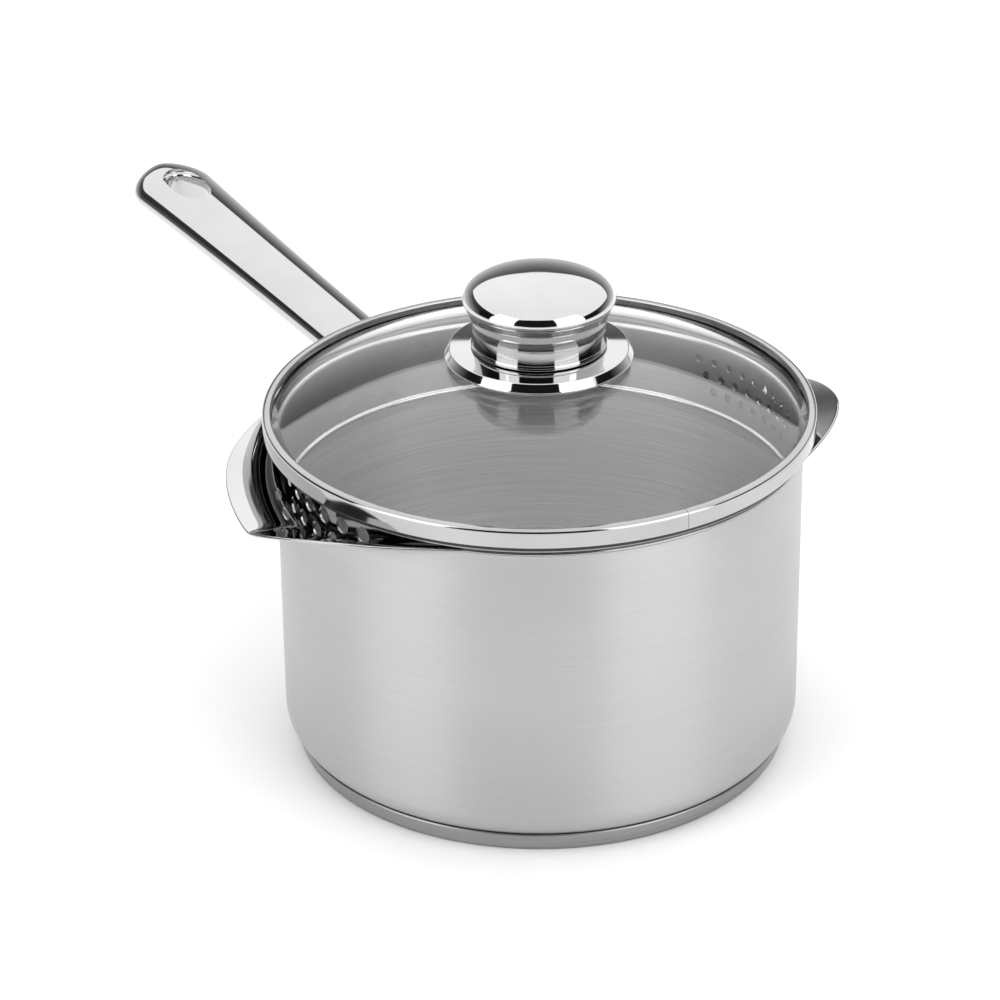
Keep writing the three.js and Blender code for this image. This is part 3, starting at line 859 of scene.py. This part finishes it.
def make_strainer_skirt():
    seat = RIM_Z + 2 * GAP
    inner = SKIRT_R - SKIRT_SHEET
    bend_r = inner + SKIRT_BEND_R
    bend_z = seat + SKIRT_SHEET - SKIRT_BEND_R
    rows = [bend_z - SKIRT_ROW * i for i in range(1, 18)]
    outline = [(SEAT_R, seat, 0.15), (SEAT_R, seat + SKIRT_SHEET, 0.15)]
    outline += plain(arc(bend_r, bend_z, SKIRT_BEND_R, 90, 180, 8))
    outline += plain([(inner, z) for z in rows])
    bead_r, bead_z = SKIRT_R - BEAD, SKIRT_BOTTOM_Z + BEAD
    outline += [(inner, bead_z + BEAD + 0.2, 0.3)]
    outline += plain(arc(bead_r, bead_z, BEAD, 125, 360, 20))
    outline += plain([(SKIRT_R, z) for z in rows[::-1]])
    outline += plain(arc(bend_r, bend_z, SKIRT_BEND_R - SKIRT_SHEET, 180, 90, 8))
    piece = turned("straining_ring", outline, steps=SKIRT_STEPS)
    cut(piece, [joined(hole_cutters(COARSE_HOLES) + hole_cutters(FINE_HOLES))])
    finishes = (SKIRT_STEEL_PAINTED_LIGHT, BEND_STEEL_PAINTED_SHADE, SLEEVE_STEEL_PAINTED_SHADE)
    # Faces turned outwards take the dark bend steel, painted shade in the gap beside the pan's
    # wall; inner faces of the bottom bead take the darker sleeve steel, painted shade that dims the
    # bead's highlight; the other inner faces take the very light skirt steel, painted light.
    for face in piece.data.polygons:
        outward = face.normal.xy.dot(face.center.xy.normalized())
        if outward > SKIRT_INSIDE:
            face.material_index = finishes.index(BEND_STEEL_PAINTED_SHADE)
        elif face.center.z < (SKIRT_BOTTOM_Z + 2 * BEAD) * MM:
            face.material_index = finishes.index(SLEEVE_STEEL_PAINTED_SHADE)
    return place(piece, "strainer_skirt", "lid", "polished_steel", *finishes)


# ---- knob ----
def crown(radius, edge_z, top_z, steps=28):
    points = []
    for i in range(steps + 1):
        a = math.pi / 2 * i / steps
        r = radius * max(math.cos(a), 0) ** CROWN_SIDE_POWER
        points.append((r, edge_z + (top_z - edge_z) * math.sin(a) ** CROWN_TOP_POWER))
    points[-1] = (0, top_z)
    return points


def make_knob_cap():
    outside = plain(crown(KNOB_R, KNOB_EDGE_Z, KNOB_TOP_Z))
    inner_edge_z, rim_z = KNOB_EDGE_Z + CROWN_RIM, KNOB_EDGE_Z - CROWN_RIM
    inside = plain(crown(KNOB_R - SHELL_T, inner_edge_z, KNOB_TOP_Z - SHELL_T)[::-1])
    lower = [(KNOB_R - SHELL_T, rim_z, 0.1), (KNOB_R - 0.3, rim_z, 0.2)]
    piece = turned("knob_crown", inside + lower + outside, False)
    return place(piece, "knob_cap", "knob", "polished_steel", POLISHED)


def make_knob_sleeve():
    top = KNOB_EDGE_Z - CROWN_RIM - GAP
    inner_lip_r = LIP_R - SHELL_T - 1.2
    outline = [
        (inner_lip_r, LIP_Z - 0.5, 0.2),
        (LIP_R, LIP_Z - 0.5, 0.6),
        (LIP_R, LIP_Z + 0.5, 0.4),
        (WAIST_R, LIP_Z + 1.2, 0.5),
        (WAIST_R, WAIST_Z, 12.0),
        (KNOB_R - 0.7, top - 0.4, 0.5),
        (KNOB_R - 1.1, top, 0.2),
        (KNOB_R - 2.2, top, 0.1),
        (WAIST_R - SHELL_T, WAIST_Z + 0.4, 1.0),
        (inner_lip_r, LIP_Z + 2, 0.5),
    ]
    piece = turned("knob_collar", outline)
    # The collar wears the darker sleeve steel: painted shade.
    return place(piece, "knob_sleeve", "knob", "polished_steel", SLEEVE_STEEL_PAINTED_SHADE)


def make_knob_flange():
    def under(r):
        return glass_top(r) + GAP + SEAL_T + GAP

    outline = [
        (BOLT_HOLE_R, under(BOLT_HOLE_R), 0),
        (16, under(16), 0),
        (FLANGE_R - 1.6, under(FLANGE_R - 1.6), 0.3),
        (FLANGE_R - 0.3, FLANGE_BOTTOM_Z + 0.2, 0.4),
        (FLANGE_R, FLANGE_BOTTOM_Z + 1.1, 0.8),
        (FLANGE_R - BEVEL_REACH, FLANGE_TOP_Z - 0.6, 0.6),
        (24, FLANGE_TOP_Z - 0.1, 2.0),
        (BOLT_HOLE_R, FLANGE_TOP_Z, 0),
    ]
    return place(turned("knob_foot", outline), "knob_flange", "knob", "polished_steel", POLISHED)


def make_flange_seal():
    radii = [GLASS_HOLE_R + 1, *SEAL_RADII, FLANGE_R - 1.8]
    under = plain([(r, glass_top(r) + GAP) for r in radii])
    top = plain([(r, glass_top(r) + GAP + SEAL_T) for r in radii[::-1]])
    return place(turned("foot_seal", under + top), "flange_seal", "knob", "silicone", SILICONE)


def make_glass_bush():
    neck = GLASS_HOLE_R - GAP
    shoulder = glass_top(GLASS_HOLE_R) - GLASS_T - 2 * GAP
    outline = [
        (BOLT_HOLE_R, UNDER_SEAL_Z, 0.2),
        (BUSH_R, UNDER_SEAL_Z, 0.6),
        (BUSH_R, glass_top(BUSH_R) - GLASS_T - GAP, 0.3),
        (neck, shoulder + 0.2, 0.1),
        (neck, glass_top(0) - 0.4, 0.2),
        (BOLT_HOLE_R, glass_top(0) - 0.4, 0.2),
    ]
    piece = turned("glass_grommet", outline, steps=SMALL_STEPS)
    return place(piece, "glass_bush", "knob", "silicone", SILICONE)


def washer(name, radius, thickness, top, outer_fillet):
    outline = [
        (BOLT_HOLE_R, top - thickness, 0.1),
        (radius, top - thickness, outer_fillet),
        (radius, top, outer_fillet),
        (BOLT_HOLE_R, top, 0.1),
    ]
    return turned(name, outline, steps=SMALL_STEPS)


def make_washers():
    piece = washer("load_washer", WASHER_R, WASHER_T, UNDER_SEAL_Z - GAP, 0.3)
    place(piece, "knob_washer", "knob", "satin_steel", SATIN)
    top = UNDER_SEAL_Z - WASHER_T - 2 * GAP
    piece = washer("spring_washer", LOCK_R, LOCK_T, top, 0.1)
    corners = ((2, -0.3), (5, -0.1), (5, 0.5), (2, 0.3))
    slit = skinned("cutter", [[(x, y, top + s) for x, y in corners] for s in (-2, 1)])
    place(cut(piece, [slit]), "lock_washer", "knob", "satin_steel", SATIN)


def make_knob_screw():
    seat = UNDER_SEAL_Z - WASHER_T - LOCK_T - 3 * GAP
    outline = [
        (0, seat - SCREW_HEAD_H, 0),
        (2.8, seat - SCREW_HEAD_H + 0.1, 1.0),
        (SCREW_HEAD_R, seat - 1.2, 1.0),
        (SCREW_HEAD_R, seat, 0.2),
        (BOLT_R, seat, 0.1),
        (BOLT_R, BOLT_TOP_Z, 0.2),
        (BOLT_R - 0.6, BOLT_TOP_Z + 0.6, 0.1),
        (0, BOLT_TOP_Z + 0.6, 0),
    ]
    piece = turned("pan_head_screw", outline, False, steps=SMALL_STEPS)
    cutters = []
    for width, depth in ((DRIVE_LENGTH, DRIVE_WIDTH), (DRIVE_WIDTH, DRIVE_LENGTH)):
        half_w, half_d = width / 2, depth / 2
        corners = ((-half_w, -half_d), (half_w, -half_d), (half_w, half_d), (-half_w, half_d))
        loops = []
        for z, scale in ((seat - 4, 1), (seat - 1.3, 0.8)):
            loops.append([(x * scale, y * scale, z) for x, y in corners])
        cutters.append(skinned("cutter", loops))
    place(cut(piece, cutters), "knob_screw", "knob", "satin_steel", SATIN)


def dress_cad_node(node, material):
    """A CAD node that stays gets its material."""
    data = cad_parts[node].data
    data.materials.clear()
    data.materials.append(material)


# ---- stage ----
CAMERA_AZ = math.radians(57.5)
CAMERA_OUT = 1.152
CAMERA_UP = 0.68145
CAMERA_YAW = -0.0121
CAMERA_PITCH = 0.4747
CAMERA_ROLL = -0.0107
CAMERA_LENS = 132.9
CAMERA_SENSOR = 36
FLOOR_SIZE = 16
FLOOR_Z = -0.0002
TOWARDS = Vector((math.sin(CAMERA_AZ), -math.cos(CAMERA_AZ), 0))
RIGHTWARDS = Vector((math.cos(CAMERA_AZ), math.sin(CAMERA_AZ), 0))


def make_camera():
    data = bpy.data.cameras.new("camera")
    data.lens = CAMERA_LENS
    data.sensor_width = CAMERA_SENSOR
    camera = bpy.data.objects.new("camera", data)
    camera.location = TOWARDS * CAMERA_OUT + Vector((0, 0, CAMERA_UP))
    turn = Matrix.Rotation(CAMERA_AZ - CAMERA_YAW, 3, "Z")
    turn = turn @ Matrix.Rotation(math.pi / 2 - CAMERA_PITCH, 3, "X")
    turn = turn @ Matrix.Rotation(CAMERA_ROLL, 3, "Z")
    camera.rotation_euler = turn.to_euler()
    bpy.context.scene.collection.objects.link(camera)
    bpy.context.scene.camera = camera


def make_floor():
    bpy.ops.mesh.primitive_plane_add(size=FLOOR_SIZE, location=(0, 0, FLOOR_Z))
    floor = bpy.context.object
    floor.name = "floor"
    made, tree, shader = material_of("floor_paint", Roughness=0.9, Specular_IOR_Level=0.1)
    speck = noise_of(tree, (3, 3, 3), 2.0)
    colour = tint(tree, spread(tree, speck, 0, 1), grey(0.83), grey(0.85))
    tree.links.new(colour, shader.inputs["Base Color"])
    floor.data.materials.append(made)


def softbox(name, centre, across, along, width, height, radiance):
    """A rectangular light of even brightness, hidden from the camera but seen in reflections."""
    data = bpy.data.lights.new(name, "AREA")
    data.shape = "RECTANGLE"
    data.size = width
    data.size_y = height
    data.energy = math.pi * width * height * radiance
    light = bpy.data.objects.new(name, data)
    back = across.cross(along)
    if back.dot(centre) < 0:
        across, back = -across, -back
    turn = Matrix((across, along, back)).transposed().to_4x4()
    light.matrix_world = Matrix.Translation(centre) @ turn
    light.visible_camera = False
    bpy.context.scene.collection.objects.link(light)
    return light


def polar(azimuth, distance):
    """A point on the floor at an azimuth from the camera's side, in degrees to the right."""
    a = math.radians(azimuth)
    return (TOWARDS * math.cos(a) + RIGHTWARDS * math.sin(a)) * distance


CEILING_Z = 2.2
CEILING_NEAR = 1.76
CEILING_FAR = 4.8
CEILING_LEFT = 2.8
CEILING_RIGHT = 4.4
BOXES = {"box_left": (-75, -36), "box_right": (26, 70)}
BOX_DISTANCE = 1.9
BOX_BOTTOM = 0.02
CEILING_RADIANCE = 1.22
BOX_RADIANCE = 2.3
FILL_RADIANCE = 0.62
FILL_SIZE = 5.0
FILL_BELOW_CEILING = 0.1
HORIZON_GREY = 0.75
UPPER_GREY = 0.10
UPPER_FROM = 0.38
ROOM_COLOUR = (0.012, 0.012, 0.013, 1)
BACKDROP_FADE = (0.1, 0.7)


def make_lights():
    wide, deep = CEILING_LEFT + CEILING_RIGHT, CEILING_FAR + CEILING_NEAR
    middle = TOWARDS * (CEILING_NEAR - deep / 2) + Vector((0, 0, CEILING_Z))
    middle += RIGHTWARDS * (CEILING_RIGHT - CEILING_LEFT) / 2
    softbox("ceiling", middle, RIGHTWARDS, TOWARDS, wide, deep, CEILING_RADIANCE)
    for name, (start, end) in BOXES.items():
        a = polar(start, BOX_DISTANCE)
        b = polar(end, BOX_DISTANCE)
        across = (b - a).normalized()
        high = CEILING_Z - BOX_BOTTOM
        centre = (a + b) / 2 + Vector((0, 0, BOX_BOTTOM + high / 2))
        softbox(name, centre, across, Vector((0, 0, 1)), (b - a).length, high, BOX_RADIANCE)
    above = Vector((0, 0, CEILING_Z - FILL_BELOW_CEILING))
    fill = softbox("fill", above, RIGHTWARDS, TOWARDS, FILL_SIZE, FILL_SIZE, FILL_RADIANCE)
    fill.visible_glossy = False


def make_world():
    """Dark room with a pale backdrop behind the pan, brightest at the horizon."""
    world = bpy.data.worlds.new("studio")
    bpy.context.scene.world = world
    world.use_nodes = True
    tree = world.node_tree
    shader = tree.nodes["Background"]
    coordinates = tree.nodes.new("ShaderNodeTexCoord")
    split = tree.nodes.new("ShaderNodeSeparateXYZ")
    tree.links.new(coordinates.outputs["Generated"], split.inputs["Vector"])
    rise = tree.nodes.new("ShaderNodeValToRGB")
    rise.color_ramp.elements[0].position = 0.0
    rise.color_ramp.elements[0].color = (*grey(HORIZON_GREY), 1)
    rise.color_ramp.elements[1].position = UPPER_FROM
    rise.color_ramp.elements[1].color = (*grey(UPPER_GREY), 1)
    tree.links.new(split.outputs["Z"], rise.inputs["Fac"])
    behind = tree.nodes.new("ShaderNodeVectorMath")
    behind.operation = "DOT_PRODUCT"
    behind.inputs[1].default_value = -TOWARDS
    tree.links.new(coordinates.outputs["Generated"], behind.inputs[0])
    fade_from, fade_to = BACKDROP_FADE
    side = node_of(tree, "ShaderNodeMapRange", From_Min=fade_from, From_Max=fade_to)
    tree.links.new(behind.outputs["Value"], side.inputs["Value"])
    mix = tree.nodes.new("ShaderNodeMix")
    mix.data_type = "RGBA"
    mix.inputs[6].default_value = ROOM_COLOUR
    tree.links.new(side.outputs["Result"], mix.inputs[0])
    tree.links.new(rise.outputs["Color"], mix.inputs[7])
    tree.links.new(mix.outputs[2], shader.inputs["Color"])
    bpy.context.scene.view_settings.view_transform = "Standard"


make_camera()
make_floor()
make_lights()
make_world()
make_pan_body()
make_base_cap()
make_handle()
make_handle_bracket()
make_lid_glass()
make_lid_rim()
make_rim_gasket()
make_strainer_skirt()
make_knob_cap()
make_knob_sleeve()
make_knob_flange()
make_flange_seal()
make_glass_bush()
make_washers()
make_knob_screw()
dress_cad_node("base_core", ALUMINIUM)
dress_cad_node("knob_core", PHENOLIC)
dress_cad_node("knob_bush", BRASS)
